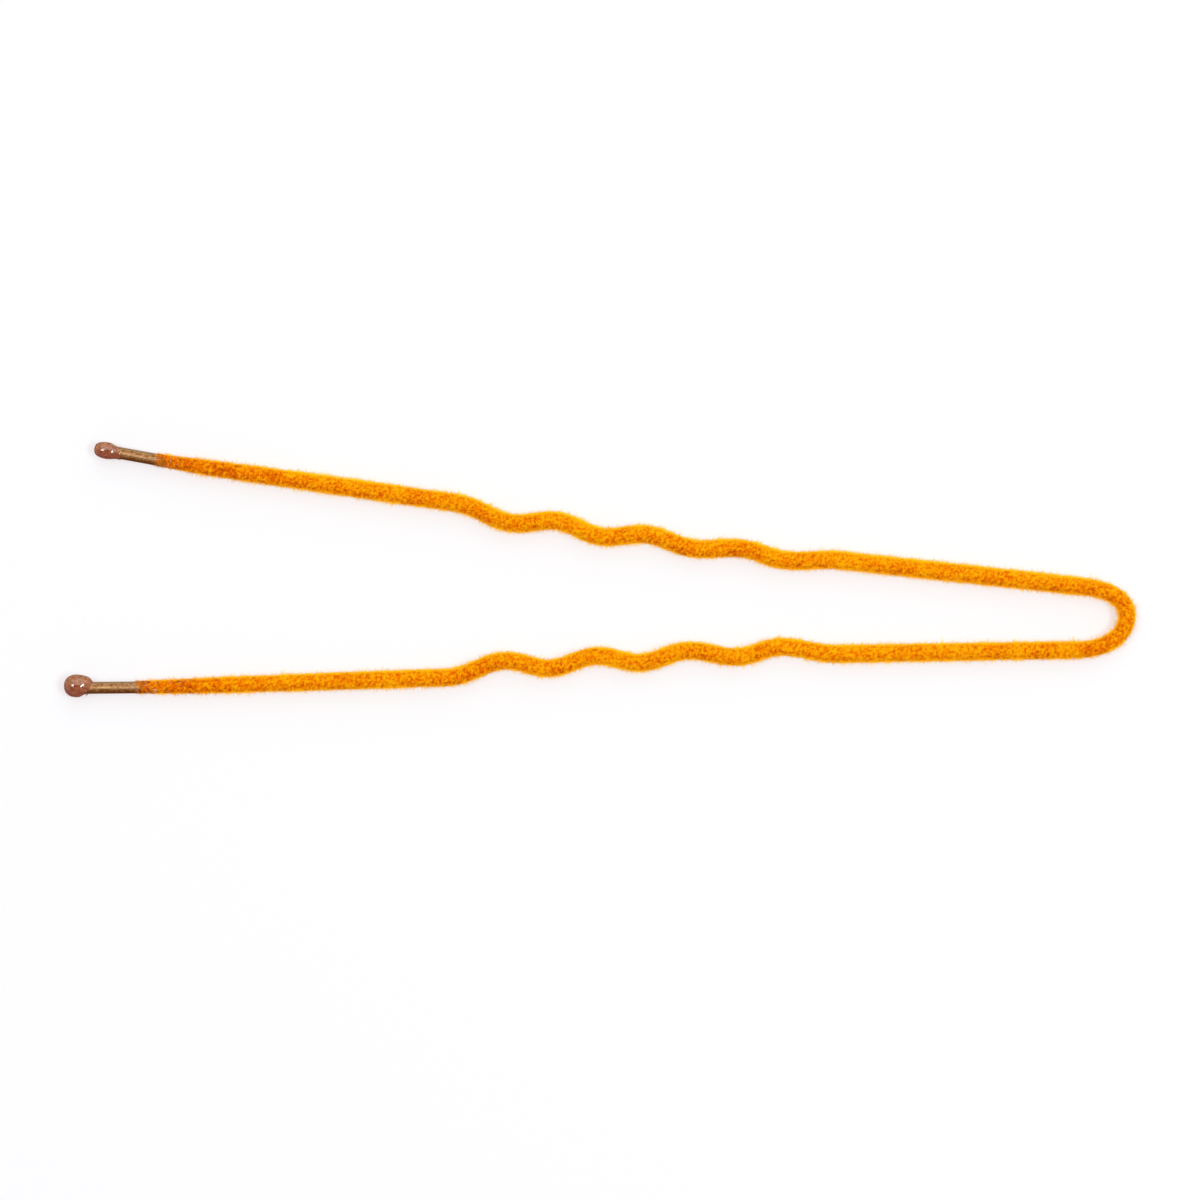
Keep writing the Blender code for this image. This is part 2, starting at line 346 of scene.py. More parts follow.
def mark_flank(item):
    """Keeps how far each place faces away from the key light, from -1 to 1, for painted shade."""
    flank = item.data.attributes.new("flank", "FLOAT", "POINT")
    flank.data.foreach_set("value", [-vertex.normal.y for vertex in item.data.vertices])


def make_wire(leg, name):
    path = leg["line"]
    wire = lay_tube(name, path, [WIRE_RADIUS] * len(path), WIRE_SIDES)
    mark_flank(wire)
    end = path[-1]
    onward = (end - path[-2]).normalized() * CUT_CHAMFER
    narrowed = 1 - CUT_CHAMFER / WIRE_RADIUS
    pick(wire, lambda place: (place - end).length < WIRE_RADIUS / 2, "FACE")
    bpy.ops.mesh.extrude_region_move(TRANSFORM_OT_translate={"value": onward})
    bpy.ops.transform.resize(value=(narrowed, narrowed, narrowed), center_override=end + onward)
    leave_edit()
    return wire


wire_left = make_wire(LEFT, "wire_left")
wire_right = make_wire(RIGHT, "wire_right")
print("wire faces", len(wire_left.data.polygons), len(wire_right.data.polygons))

# %% [markdown]
# ## Coats over the wire
# Two coats lie over the wire: the glue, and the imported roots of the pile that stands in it. Both are
# thin where the pin was held and grow along the leg, as the picture shows. One table gives their radii,
# so that the coats always lie in the right order. At the very end both sink below the wire's surface.

# %% Radii of the coats
# Radii and distances from the pile's end, in mm.
COAT_STEPS = (
    {"from_end": 0.0, "glue": 0.445, "roots": 0.445},
    {"from_end": 0.8, "glue": 0.490, "roots": 0.500},
    {"from_end": 2.0, "glue": 0.500, "roots": 0.545},
    {"from_end": 5.0, "glue": 0.510, "roots": 0.607},
    {"from_end": 7.5, "glue": 0.540, "roots": 0.643},
    {"from_end": 12.0, "glue": 0.555, "roots": 0.665},
    {"from_end": 16.0, "glue": 0.555, "roots": 0.695},
)


def coat_radius(coat, from_end):
    """A coat's radius at this distance from the pile's end."""
    for near, far in zip(COAT_STEPS, COAT_STEPS[1:]):
        if from_end < far["from_end"] * MM:
            share = (from_end / MM - near["from_end"]) / (far["from_end"] - near["from_end"])
            return (near[coat] + (far[coat] - near[coat]) * share) * MM
    return COAT_STEPS[-1][coat] * MM


FINE_STEPS = 4


def fine_path(path):
    """The same line with more points, so that a coat can be uneven."""
    fine = []
    for near, far in zip(path, path[1:]):
        fine += [near.lerp(far, step / FINE_STEPS) for step in range(FINE_STEPS)]
    return [*fine, path[-1]]


def lean_end(path, aside, fade):
    """Moves the line's last stretch sideways, more and more towards its end."""
    stop = path[-1].x
    shares = [max(0.0, 1 - (place.x - stop) / fade) for place in path]
    return [place + Vector((0.0, aside * share, 0.0)) for place, share in zip(path, shares)]


# %% [markdown]
# ## Glue
# The pile stands in a thin coat of pale glue. It shows between the fibres where the pile ends, with a
# slanted edge where the pin was lowered into the pot. The coat dives under the wire's surface there, so
# its visible edge is where the two surfaces cross. Its end is moved a little to one side, which slants
# that edge, and its last rings are randomised, as dried glue is ragged. How far each place is from the
# end is kept as an attribute for its colour.

# %% Two coats of glue
GLUE_SIDES = 24
GLUE_LEAN_RUN = 1.5 * MM
GLUE_ROUGH_RUN = 4.0 * MM
GLUE_ROUGHNESS = 0.03 * MM
GLUE_SOFTENING = 0.3


def make_glue(leg, name, seed):
    path = fine_path(line_until(leg, leg["glue_end"]))
    radii = [coat_radius("glue", place.x - path[-1].x) for place in path]
    glue = lay_tube(name, lean_end(path, leg["glue_lean"], GLUE_LEAN_RUN), radii, GLUE_SIDES)
    pick(glue, lambda place: place.x < path[-1].x + GLUE_ROUGH_RUN)
    bpy.ops.transform.vertex_random(offset=GLUE_ROUGHNESS, seed=seed)
    bpy.ops.mesh.vertices_smooth(factor=GLUE_SOFTENING)
    leave_edit()
    from_end = glue.data.attributes.new("from end", "FLOAT", "POINT")
    from_end.data.foreach_set("value", [vertex.co.x - path[-1].x for vertex in glue.data.vertices])
    return glue


glue_left = make_glue(LEFT, "glue_left", seed=3)
glue_right = make_glue(RIGHT, "glue_right", seed=8)
print("glue faces", len(glue_left.data.polygons), len(glue_right.data.polygons))

# %% [markdown]
# ## Flock
# Flock is nylon cut to a fixed short length and shot on to the glue by a high voltage, so the fibres
# stand up on end, in tufts that are a little higher than the hollows between them and catch more light.
# Hair particles would be one way to make them. Geometry Nodes are chosen because their result can be
# applied to a plain mesh, and because one pattern of tufts can then shape everything: the imported
# roots, and where the single fibres stand, how long they are, which way they lean and what painted shade
# they have.

# %% Helpers for node trees
def add_node(tree, kind, inputs=None, **settings):
    """A node with its settings, and with a value or a link for each named input."""
    node = tree.nodes.new(kind)
    for name, value in settings.items():
        setattr(node, name, value)
    for name, value in (inputs or {}).items():
        if isinstance(value, bpy.types.NodeSocket):
            tree.links.new(value, node.inputs[name])
        else:
            node.inputs[name].default_value = value
    return node


def shown(sockets, name):
    """The socket of this name that suits the node's settings, where a node has several."""
    return next(socket for socket in sockets if socket.name == name and socket.enabled)


def calculate(tree, operation, first, second=0.0):
    """A Math node on two values or links."""
    node = add_node(tree, "ShaderNodeMath", {0: first, 1: second}, operation=operation)
    return node.outputs[0]


def vector_math(tree, operation, first, second=(0.0, 0.0, 0.0)):
    """A Vector Math node. For SCALE the second value is a number."""
    other = "Scale" if operation == "SCALE" else 1
    return add_node(tree, "ShaderNodeVectorMath", {0: first, other: second}, operation=operation).outputs[0]


def map_range(tree, value, low, high, new_low=0.0, new_high=1.0, kind="LINEAR"):
    """Turns values from low to high into ones from new low to new high, and stops at both."""
    inputs = {"Value": value, "From Min": low, "From Max": high, "To Min": new_low, "To Max": new_high}
    return add_node(tree, "ShaderNodeMapRange", inputs, interpolation_type=kind).outputs["Result"]


def add_sockets(tree, inputs, outputs):
    """Names the inputs and outputs of a node group, each with its type and its usual value."""
    for name, kind, value in inputs:
        socket = tree.interface.new_socket(name, in_out="INPUT", socket_type=kind)
        if value is not None:
            socket.default_value = value
    for name, kind in outputs:
        tree.interface.new_socket(name, in_out="OUTPUT", socket_type=kind)
    return tree.nodes.new("NodeGroupInput").outputs, tree.nodes.new("NodeGroupOutput").inputs


def use_nodes(tree, group, inputs=None):
    """Places a node group in another tree."""
    kind = "ShaderNodeGroup" if group.type == "SHADER" else "GeometryNodeGroup"
    return add_node(tree, kind, inputs, node_tree=group).outputs


# %% The pattern of tufts
TUFT_SIZE = 0.20 * MM
DRIFT_SIZE = 2.2 * MM
DRIFT_SHARE = 0.19
HOLLOW_NOISE, TUFT_NOISE = 0.33, 0.67
HALF = (0.5, 0.5, 0.5)

# Noise is a half on average, so a half is taken off what has to swing both ways.
tuft_pattern = bpy.data.node_groups.new("tuft pattern", "GeometryNodeTree")
given, result = add_sockets(
    tuft_pattern, [], [("Height", "NodeSocketFloat"), ("Direction", "NodeSocketVector")]
)
place = add_node(tuft_pattern, "GeometryNodeInputPosition").outputs[0]
tufts = add_node(
    tuft_pattern, "ShaderNodeTexNoise", {"Vector": place, "Scale": 1 / TUFT_SIZE, "Detail": 2.0}
).outputs
drift = add_node(
    tuft_pattern, "ShaderNodeTexNoise", {"Vector": place, "Scale": 1 / DRIFT_SIZE, "Detail": 1.0}
).outputs["Fac"]
drift = calculate(tuft_pattern, "MULTIPLY", calculate(tuft_pattern, "SUBTRACT", drift, 0.5), DRIFT_SHARE)
height = calculate(tuft_pattern, "ADD", tufts["Fac"], drift)
height = map_range(tuft_pattern, height, HOLLOW_NOISE, TUFT_NOISE)
tuft_pattern.links.new(height, result["Height"])
direction = vector_math(tuft_pattern, "SUBTRACT", tufts["Color"], HALF)
tuft_pattern.links.new(direction, result["Direction"])


# %% Store and read a value on a mesh
def store(tree, geometry, name, value, domain, kind="FLOAT"):
    inputs = {"Geometry": geometry, "Name": name}
    node = add_node(tree, "GeometryNodeStoreNamedAttribute", inputs, data_type=kind, domain=domain)
    tree.links.new(value, shown(node.inputs, "Value"))
    return node.outputs[0]


def stored(tree, name, kind="FLOAT"):
    node = add_node(tree, "GeometryNodeInputNamedAttribute", {"Name": name}, data_type=kind)
    return shown(node.outputs, "Attribute")


def apply_nodes(item, tree, values):
    """Runs a geometry node tree on an object and keeps its result."""
    only(item)
    steps = item.modifiers.new("nodes", "NODES")
    steps.node_group = tree
    for socket in tree.interface.items_tree:
        if socket.in_out == "INPUT" and socket.name in values:
            steps[socket.identifier] = values[socket.name]
    bpy.ops.object.modifier_apply(modifier=steps.name)


# %% [markdown]
# ## Roots of the pile
# Where the fibres stand in the glue they are packed so close that no glue shows. Single fibres on a
# computer can't be as many as the real ones, so a bumpy coat stands for their packed lower part. It
# keeps a shade as an attribute for its colour, which is painted light and shade: lighter on tufts and
# on the flank towards the key light, darker in hollows, where the pile is thin near its end, and round
# the bow, where the bend pressed it. Near its end it sinks into the glue, and only its tufts stand out.
# Its crown is open while it is raised, so that both halves meet there without a step.

# %% Raise the tufts of a coat
THIN_RUN = 11.0 * MM
THIN_SHADE = 0.31
MIDDLE_SHADE = 0.675
SHADE_SPREAD = 1.05
START_RUN = 1.6 * MM
START_SHADE = 0.33
# Painted light and shade: the pile is lighter on the side towards the key light and darker on the far side.
LIT_SIDE = (0.35, 1.0, 0.0)
LIT_SIDE_SHARE = 0.09
BOW_PRESS_FROM, BOW_PRESS_TO = 37.2 * MM, 38.4 * MM
BOW_SHADE = 0.10

raise_tufts = bpy.data.node_groups.new("raise tufts", "GeometryNodeTree")
raise_tufts.is_modifier = True
given, result = add_sockets(
    raise_tufts,
    [
        ("Geometry", "NodeSocketGeometry", None),
        ("Height", "NodeSocketFloat", 0.1 * MM),
        ("Last X", "NodeSocketFloat", 0.0),
    ],
    [("Geometry", "NodeSocketGeometry")],
)


def shade_of(tree, tuft, last_x):
    """A tuft's shade, darker where the pile gets thin. Also gives the distance from the pile's end."""
    place = add_node(tree, "GeometryNodeInputPosition").outputs[0]
    place_x = add_node(tree, "ShaderNodeSeparateXYZ", {0: place}).outputs["X"]
    from_end = calculate(tree, "SUBTRACT", place_x, last_x)
    middle = map_range(tree, from_end, 0.0, THIN_RUN, MIDDLE_SHADE - THIN_SHADE, MIDDLE_SHADE)
    start = map_range(tree, from_end, 0.0, START_RUN, -START_SHADE, 0.0)
    bow = map_range(tree, place_x, BOW_PRESS_FROM, BOW_PRESS_TO, 0.0, -BOW_SHADE)
    middle = calculate(tree, "ADD", middle, calculate(tree, "ADD", start, bow))
    shade = calculate(tree, "MULTIPLY", calculate(tree, "SUBTRACT", tuft, 0.5), SHADE_SPREAD)
    return calculate(tree, "ADD", shade, middle), from_end


def add_nap(tree, shade, outward):
    """The shade, with painted light on the flank towards the key light and painted shade on the other one.
    """
    inputs = {0: outward, 1: LIT_SIDE}
    towards_light = add_node(tree, "ShaderNodeVectorMath", inputs, operation="DOT_PRODUCT").outputs["Value"]
    return calculate(tree, "ADD", shade, calculate(tree, "MULTIPLY", towards_light, LIT_SIDE_SHARE))


tuft = use_nodes(raise_tufts, tuft_pattern)["Height"]
shade, from_end = shade_of(raise_tufts, tuft, given["Last X"])
normal = add_node(raise_tufts, "GeometryNodeInputNormal").outputs[0]
shade = add_nap(raise_tufts, shade, normal)
raised = store(raise_tufts, given["Geometry"], "tuft", tuft, "POINT")
raised = store(raise_tufts, raised, "shade", shade, "POINT")
raised = store(raise_tufts, raised, "outward", normal, "POINT", "FLOAT_VECTOR")
lift = calculate(raise_tufts, "SUBTRACT", stored(raise_tufts, "tuft"), 0.5)
lift = calculate(raise_tufts, "MULTIPLY", lift, given["Height"])
offset = vector_math(raise_tufts, "SCALE", stored(raise_tufts, "outward", "FLOAT_VECTOR"), lift)
raised = add_node(raise_tufts, "GeometryNodeSetPosition", {"Geometry": raised, "Offset": offset}).outputs[0]
raise_tufts.links.new(raised, result["Geometry"])

# %% Root coats
PILE_GAP = 0.22 * MM
END_ASIDE, PILE_ASIDE = 0.02 * MM, -0.03 * MM
PILE_ASIDE_RUN = 4.0 * MM
BOW_PRESS = 0.045 * MM
ROOT_SIDES = 40
TUFT_HEIGHT = 0.13 * MM


def open_tube(leg, name, coat, depth, least, sides):
    """A tube this far inside a coat, never thinner than the least radius, open at the crown.

    The pile is a little thicker on the flank that lay lower while its glue was wet, and thinner
    round the bow, where the bend pressed it, and on a leg that has a trim.
    """
    path = fine_path(line_until(leg, leg["glue_end"] - PILE_GAP))
    stop = path[-1].x
    shares = [min(1.0, (place.x - stop) / PILE_ASIDE_RUN) for place in path]
    asides = [END_ASIDE + (PILE_ASIDE - END_ASIDE) * share for share in shares]
    path = [place + Vector((0.0, aside, 0.0)) for place, aside in zip(path, asides)]
    radii = []
    for place in path:
        share = (place.x - BOW_PRESS_FROM) / (BOW_PRESS_TO - BOW_PRESS_FROM)
        press = leg["pile_trim"] + BOW_PRESS * min(1.0, max(0.0, share))
        radii.append(max(least, coat_radius(coat, place.x - path[-1].x) - depth - press))
    tube = lay_tube(name, path, radii, sides)
    pick(tube, lambda centre: (centre - path[0]).length < WELD, "FACE")
    bpy.ops.mesh.delete(type="ONLY_FACE")
    leave_edit()
    return tube, path


def make_roots(leg, name):
    roots, path = open_tube(leg, name, "roots", 0.0, 0.0, ROOT_SIDES)
    apply_nodes(roots, raise_tufts, {"Height": TUFT_HEIGHT, "Last X": path[-1].x})
    edit(roots)
    bpy.ops.mesh.select_mode(type="EDGE")
    bpy.ops.mesh.select_all(action="DESELECT")
    bpy.ops.mesh.select_non_manifold()
    bpy.ops.mesh.edge_face_add()
    leave_edit()
    return roots


roots_left = make_roots(LEFT, "roots_left")
roots_right = make_roots(RIGHT, "roots_right")
print("root faces", len(roots_left.data.polygons), len(roots_right.data.polygons))

# %% [markdown]
# ## Single fibres
# Points are scattered over a tube just inside the roots, and a fibre stands on each. More and longer
# fibres stand on a tuft than in a hollow, and those that point down are short, because the pin lies on
# them. Each keeps its shade and its place from root to tip as a UV map, so that one material can colour
# every fibre by them. Its normals are turned towards the surface's own and it casts no shadow, because
# light goes through such thin fibres and the pile is lit as one soft surface.

# %% One fibre
# It is one unit long, with its root at the origin. The planting nodes give it its real size.
FIBRE_TIP_SHARE = 0.55

bpy.ops.object.select_all(action="DESELECT")
bpy.ops.mesh.primitive_cone_add(
    vertices=3, radius1=1.0, radius2=FIBRE_TIP_SHARE, depth=1.0, location=(0.0, 0.0, 0.5)
)
fibre = bpy.context.object
fibre.name = "one fibre"
bpy.ops.object.transform_apply(location=True, rotation=True, scale=True)
bpy.ops.object.shade_smooth()
print("faces on a fibre", len(fibre.data.polygons))

# %% The planting nodes: where the fibres stand
SPARSE_RUN = 3.0 * MM
SPARSE_SHARE = 0.8
HOLLOW_DENSITY = 0.3
TUFT_DENSITY_GAIN = 1.4

planting = bpy.data.node_groups.new("plant fibres", "GeometryNodeTree")
planting.is_modifier = True
given, result = add_sockets(
    planting,
    [
        ("Geometry", "NodeSocketGeometry", None),
        ("Fibre", "NodeSocketObject", None),
        ("Per Square Millimetre", "NodeSocketFloat", 60.0),
        ("Length", "NodeSocketFloat", 0.15 * MM),
        ("Lean", "NodeSocketFloat", 0.5),
        ("Last X", "NodeSocketFloat", 0.0),
        ("Seed", "NodeSocketInt", 0),
    ],
    [("Geometry", "NodeSocketGeometry")],
)


def random_value(tree, low, high, seed_shift, kind="FLOAT"):
    """A random value for each point. The shift keeps one kind of value apart from the others."""
    seed = calculate(tree, "ADD", given["Seed"], seed_shift)
    node = add_node(tree, "FunctionNodeRandomValue", {"Seed": seed}, data_type=kind)
    shown(node.inputs, "Min").default_value = low
    shown(node.inputs, "Max").default_value = high
    return shown(node.outputs, "Value")


tufts = use_nodes(planting, tuft_pattern)
tuft_shade, from_end = shade_of(planting, tufts["Height"], given["Last X"])
thinning = map_range(planting, from_end, 0.0, SPARSE_RUN, SPARSE_SHARE, 1.0)
tuft_share = calculate(planting, "MULTIPLY", tufts["Height"], TUFT_DENSITY_GAIN)
tuft_share = calculate(planting, "ADD", tuft_share, HOLLOW_DENSITY)
per_area = calculate(planting, "MULTIPLY", given["Per Square Millimetre"], 1 / MM / MM)
per_area = calculate(planting, "MULTIPLY", per_area, thinning)
per_area = calculate(planting, "MULTIPLY", per_area, tuft_share)
scatter = add_node(
    planting,
    "GeometryNodeDistributePointsOnFaces",
    {"Mesh": given["Geometry"], "Density": per_area, "Seed": given["Seed"]},
    distribute_method="RANDOM",
)

# %% The planting nodes: lean and length
FIBRE_RADIUS = 0.015 * MM
THINNEST, THICKEST = 0.75 * FIBRE_RADIUS, 1.2 * FIBRE_RADIUS
TUFT_LEAN_SHARE = 1.3
SHORTEST, LONGEST = 0.7, 1.3
IN_HOLLOW, ON_TUFT = 0.5, 1.5
AT_END = 0.5
FULLY_DOWN, SLIGHTLY_DOWN = -1.0, -0.2
PRESSED_SHARE = 0.35

tuft_lean = vector_math(planting, "SCALE", tufts["Direction"], TUFT_LEAN_SHARE)
own_lean = random_value(planting, (-1.0, -1.0, -1.0), (1.0, 1.0, 1.0), 1, "FLOAT_VECTOR")
own_lean = vector_math(planting, "SCALE", own_lean, given["Lean"])
upright = vector_math(planting, "ADD", scatter.outputs["Normal"], tuft_lean)
upright = vector_math(planting, "ADD", upright, own_lean)
facing = add_node(planting, "FunctionNodeAlignRotationToVector", {"Vector": upright}, axis="Z").outputs[0]

way = vector_math(planting, "NORMALIZE", upright)
way_up = add_node(planting, "ShaderNodeSeparateXYZ", {0: way}).outputs["Z"]
length = given["Length"]
for share in (
    random_value(planting, SHORTEST, LONGEST, 2),
    map_range(planting, tufts["Height"], 0.0, 1.0, IN_HOLLOW, ON_TUFT),
    map_range(planting, from_end, 0.0, SPARSE_RUN, AT_END, 1.0),
    map_range(planting, way_up, FULLY_DOWN, SLIGHTLY_DOWN, PRESSED_SHARE, 1.0),
):
    length = calculate(planting, "MULTIPLY", length, share)
thickness = random_value(planting, THINNEST, THICKEST, 3)
size = add_node(planting, "ShaderNodeCombineXYZ", {"X": thickness, "Y": thickness, "Z": length}).outputs[0]

# %% The planting nodes: stand a fibre on each point
OWN_SHADE_SHARE = 0.35
OWN_NORMAL_SHARE = 2.5

one = add_node(planting, "GeometryNodeObjectInfo", {"Object": given["Fibre"]}).outputs["Geometry"]
place = add_node(planting, "GeometryNodeInputPosition").outputs[0]
split = add_node(planting, "ShaderNodeSeparateXYZ", {0: place}).outputs
for name, part in (("across", "X"), ("beside", "Y"), ("along", "Z")):
    one = store(planting, one, name, split[part], "POINT")
stand = add_node(
    planting,
    "GeometryNodeInstanceOnPoints",
    {"Points": scatter.outputs["Points"], "Instance": one, "Rotation": facing, "Scale": size},
)
own = random_value(planting, -OWN_SHADE_SHARE / 2, OWN_SHADE_SHARE / 2, 4)
shade = add_nap(planting, tuft_shade, scatter.outputs["Normal"])
shade = calculate(planting, "ADD", shade, own)
shade = add_node(planting, "ShaderNodeClamp", {"Value": shade}).outputs[0]
fibres = store(planting, stand.outputs[0], "shade", shade, "INSTANCE")
fibres = store(planting, fibres, "outward", scatter.outputs["Normal"], "INSTANCE", "FLOAT_VECTOR")
fibres = add_node(planting, "GeometryNodeRealizeInstances", {"Geometry": fibres}).outputs[0]
own_normal = add_node(planting, "GeometryNodeInputNormal").outputs[0]
own_normal = vector_math(planting, "SCALE", own_normal, OWN_NORMAL_SHARE)
soft_normal = vector_math(planting, "ADD", stored(planting, "outward", "FLOAT_VECTOR"), own_normal)
soft_normal = vector_math(planting, "NORMALIZE", soft_normal)
soft = add_node(planting, "GeometryNodeSetMeshNormal", {"Mesh": fibres}, mode="FREE", domain="POINT")
planting.links.new(soft_normal, shown(soft.inputs, "Custom Normal"))

# %% The planting nodes: map each fibre by its shade and its length
MAP_MARGIN = 0.04
MAP_FIBRE_WIDTH = 0.004
MAP_ROOT, MAP_SPAN = 0.40, 0.20

map_u = calculate(planting, "MULTIPLY", stored(planting, "shade"), 1 - 2 * MAP_MARGIN)
map_u = calculate(planting, "ADD", map_u, MAP_MARGIN)
across = calculate(planting, "MULTIPLY", stored(planting, "across"), MAP_FIBRE_WIDTH)
map_u = calculate(planting, "ADD", map_u, across)
map_v = calculate(planting, "MULTIPLY", stored(planting, "along"), MAP_SPAN)
beside = calculate(planting, "MULTIPLY", stored(planting, "beside"), MAP_FIBRE_WIDTH)
map_v = calculate(planting, "ADD", map_v, beside)
map_v = calculate(planting, "ADD", map_v, MAP_ROOT)
fibre_map = add_node(planting, "ShaderNodeCombineXYZ", {"X": map_u, "Y": map_v}).outputs[0]
fibres = store(planting, soft.outputs[0], "OFBake", fibre_map, "CORNER", "FLOAT2")
for name in ("shade", "across", "beside", "along"):
    remove = {"Geometry": fibres, "Name": name}
    fibres = add_node(planting, "GeometryNodeRemoveAttribute", remove).outputs[0]
planting.links.new(fibres, result["Geometry"])

# %% Four passes of the flocking gun
# Each pass is sparser, longer and more tousled than the one before.
PLANT_SIDES = 24
PLANT_DEPTH = 0.05 * MM
PASSES = (
    {"Per Square Millimetre": 60.0, "Length": 0.12 * MM, "Lean": 0.45},
    {"Per Square Millimetre": 55.0, "Length": 0.16 * MM, "Lean": 0.65},
    {"Per Square Millimetre": 42.0, "Length": 0.25 * MM, "Lean": 0.9},
    {"Per Square Millimetre": 26.0, "Length": 0.34 * MM, "Lean": 1.1},
)


def plant(leg, name, seed, one_pass):
    """Scatters fibres over a bare tube, which is used up."""
    pile, path = open_tube(leg, name, "roots", PLANT_DEPTH, WIRE_RADIUS, PLANT_SIDES)
    apply_nodes(pile, planting, {"Fibre": fibre, "Last X": path[-1].x, "Seed": seed, **one_pass})
    pile.visible_shadow = False
    print(name, "faces", len(pile.data.polygons))
    return pile


pile_pieces = []
for leg, side, first_seed in ((LEFT, "left", 10), (RIGHT, "right", 20)):
    for number, one_pass in enumerate(PASSES, start=1):
        name = "pile_" + side + "_" + str(number)
        pile_pieces.append((plant(leg, name, first_seed + number, one_pass), leg))

# %% [markdown]
# ## Resin tips
# Each end was dipped in resin, which drew itself into a round ball on one leg and a longer drop on the
# other, and ends in a small lip round the wire. A sphere could be stretched, but the form is easier to
# get right from a profile: one vertex is extruded from point to point, spun round the wire's line, and
# its doubles are merged. The ball hung to one side while it dried, so its last rings are moved aside,
# back to the wire. Both necks end on a slant. The drop's neck narrows in two short straight steps, and
# each of them gives a glint.

# %% Spin a tip from its profile
TIP_STEPS = 48
SLANT_RUN = 0.9 * MM


def spin_profile(name, profile, past_wire, slant):
    """Spins rings of (distance from the far end, radius, shift aside), in mm, and slants the neck."""
    rings = [(radius * MM, past_wire - from_end * MM, aside * MM) for from_end, radius, aside in profile]
    bpy.ops.object.select_all(action="DESELECT")
    bpy.ops.mesh.primitive_plane_add(size=MM, location=(0.0, 0.0, 0.0))
    tip = bpy.context.object
    tip.name = name
    bpy.ops.object.mode_set(mode="EDIT")
    bpy.ops.mesh.select_mode(type="VERT")
    bpy.ops.mesh.select_all(action="SELECT")
    bpy.ops.mesh.merge(type="CENTER")
    bpy.ops.transform.translate(value=(rings[0][0], 0.0, rings[0][1]))
    for (near, high, _), (far, low, _) in zip(rings, rings[1:]):
        bpy.ops.mesh.extrude_region_move(TRANSFORM_OT_translate={"value": (far - near, 0.0, low - high)})
    bpy.ops.mesh.select_all(action="SELECT")
    bpy.ops.mesh.spin(steps=TIP_STEPS, angle=2 * math.pi, center=(0, 0, 0), axis=(0, 0, 1))
    leave_edit()
    tidy_mesh(tip)
    for _, level, aside in rings:
        if aside:
            pick(tip, lambda place: abs(place.z - level) < WELD)
            bpy.ops.transform.translate(value=(0.0, aside, 0.0))
            leave_edit()
    last = rings[-1][1]
    for vertex in tip.data.vertices:
        share = max(0.0, 1 - (vertex.co.z - last) / SLANT_RUN)
        vertex.co.z -= math.tan(slant) * share * (vertex.co.y - rings[-1][2])
    return tip


AIM_POINTS = 6


def set_on_wire(tip, leg, offset):
    """Turns a tip from the Z axis along the wire's last points and moves it to the wire's end."""
    end = leg["line"][-1]
    outward = (end - leg["line"][-AIM_POINTS]).normalized()
    up = Vector((0.0, 0.0, 1.0))
    across = outward.cross(up)
    turned = Matrix((up, across, outward)).transposed().to_4x4()
    tip.matrix_world = Matrix.Translation(end + Vector((0.0, offset, 0.0))) @ turned
    only(tip)
    bpy.ops.object.transform_apply(location=True, rotation=True, scale=True)
    bpy.ops.object.shade_smooth_by_angle(angle=SHARP_FROM)
    mark_flank(tip)
    return tip


# %% The ball and the drop
BALL_ASIDE = 0.17 * MM
BALL_PAST_WIRE = 0.75 * MM
BALL_SLANT = math.radians(26)
BALL_PROFILE = (
    (0.0, 0.0, 0.0), (0.01, 0.16, 0.0), (0.045, 0.33, 0.0), (0.11, 0.485, 0.0), (0.20, 0.61, 0.0),
    (0.31, 0.71, 0.0), (0.45, 0.80, 0.0), (0.62, 0.868, 0.0), (0.80, 0.903, 0.0), (0.99, 0.915, 0.0),
    (1.18, 0.90, 0.0), (1.36, 0.86, 0.0), (1.53, 0.795, 0.0), (1.68, 0.722, -0.005),
    (1.79, 0.662, -0.03), (1.87, 0.615, -0.075), (1.94, 0.575, -0.12), (2.00, 0.540, -0.15),
    (2.05, 0.517, -0.165), (2.08, 0.505, -0.17), (2.09, 0.480, -0.17), (2.09, 0.0, -0.17),
)
DROP_PAST_WIRE = 0.45 * MM
DROP_SLANT = math.radians(-8)
DROP_PROFILE = (
    (0.0, 0.0, 0.0), (0.01, 0.13, 0.0), (0.04, 0.26, 0.0), (0.09, 0.365, 0.0), (0.17, 0.455, 0.0),
    (0.28, 0.53, 0.0), (0.43, 0.592, 0.0), (0.61, 0.638, 0.0), (0.80, 0.663, 0.0), (0.98, 0.672, 0.0),
    (1.12, 0.669, 0.0), (1.22, 0.660, 0.0), (1.29, 0.647, 0.0), (1.36, 0.629, 0.0),
    (1.43, 0.611, -0.005), (1.50, 0.588, -0.01), (1.57, 0.5625, -0.01), (1.62, 0.546, -0.015),
    (1.69, 0.528, -0.02), (1.77, 0.5075, -0.02), (1.84, 0.504, -0.025), (1.94, 0.503, -0.03),
    (2.04, 0.502, -0.03), (2.11, 0.498, -0.03), (2.13, 0.48, -0.03), (2.13, 0.0, -0.03),
)

ball_tip = spin_profile("ball_tip", BALL_PROFILE, BALL_PAST_WIRE, BALL_SLANT)
ball_tip = set_on_wire(ball_tip, RIGHT, BALL_ASIDE)
drop_tip = spin_profile("drop_tip", DROP_PROFILE, DROP_PAST_WIRE, DROP_SLANT)
drop_tip = set_on_wire(drop_tip, LEFT, 0.0)
print("tip faces", len(ball_tip.data.polygons), len(drop_tip.data.polygons))

# %% [markdown]
# ## Shared effects
# No finish on the pin is one flat colour. Lacquer, glue and resin are all a little blotchy, and lacquer,
# glue and pile have a fine unevenness, so both effects are node groups that each material uses with its
# own values. A third group colours the pile's roots and fibres from their shade, and a fourth lightens
# them at the rim, where they are seen edge on.

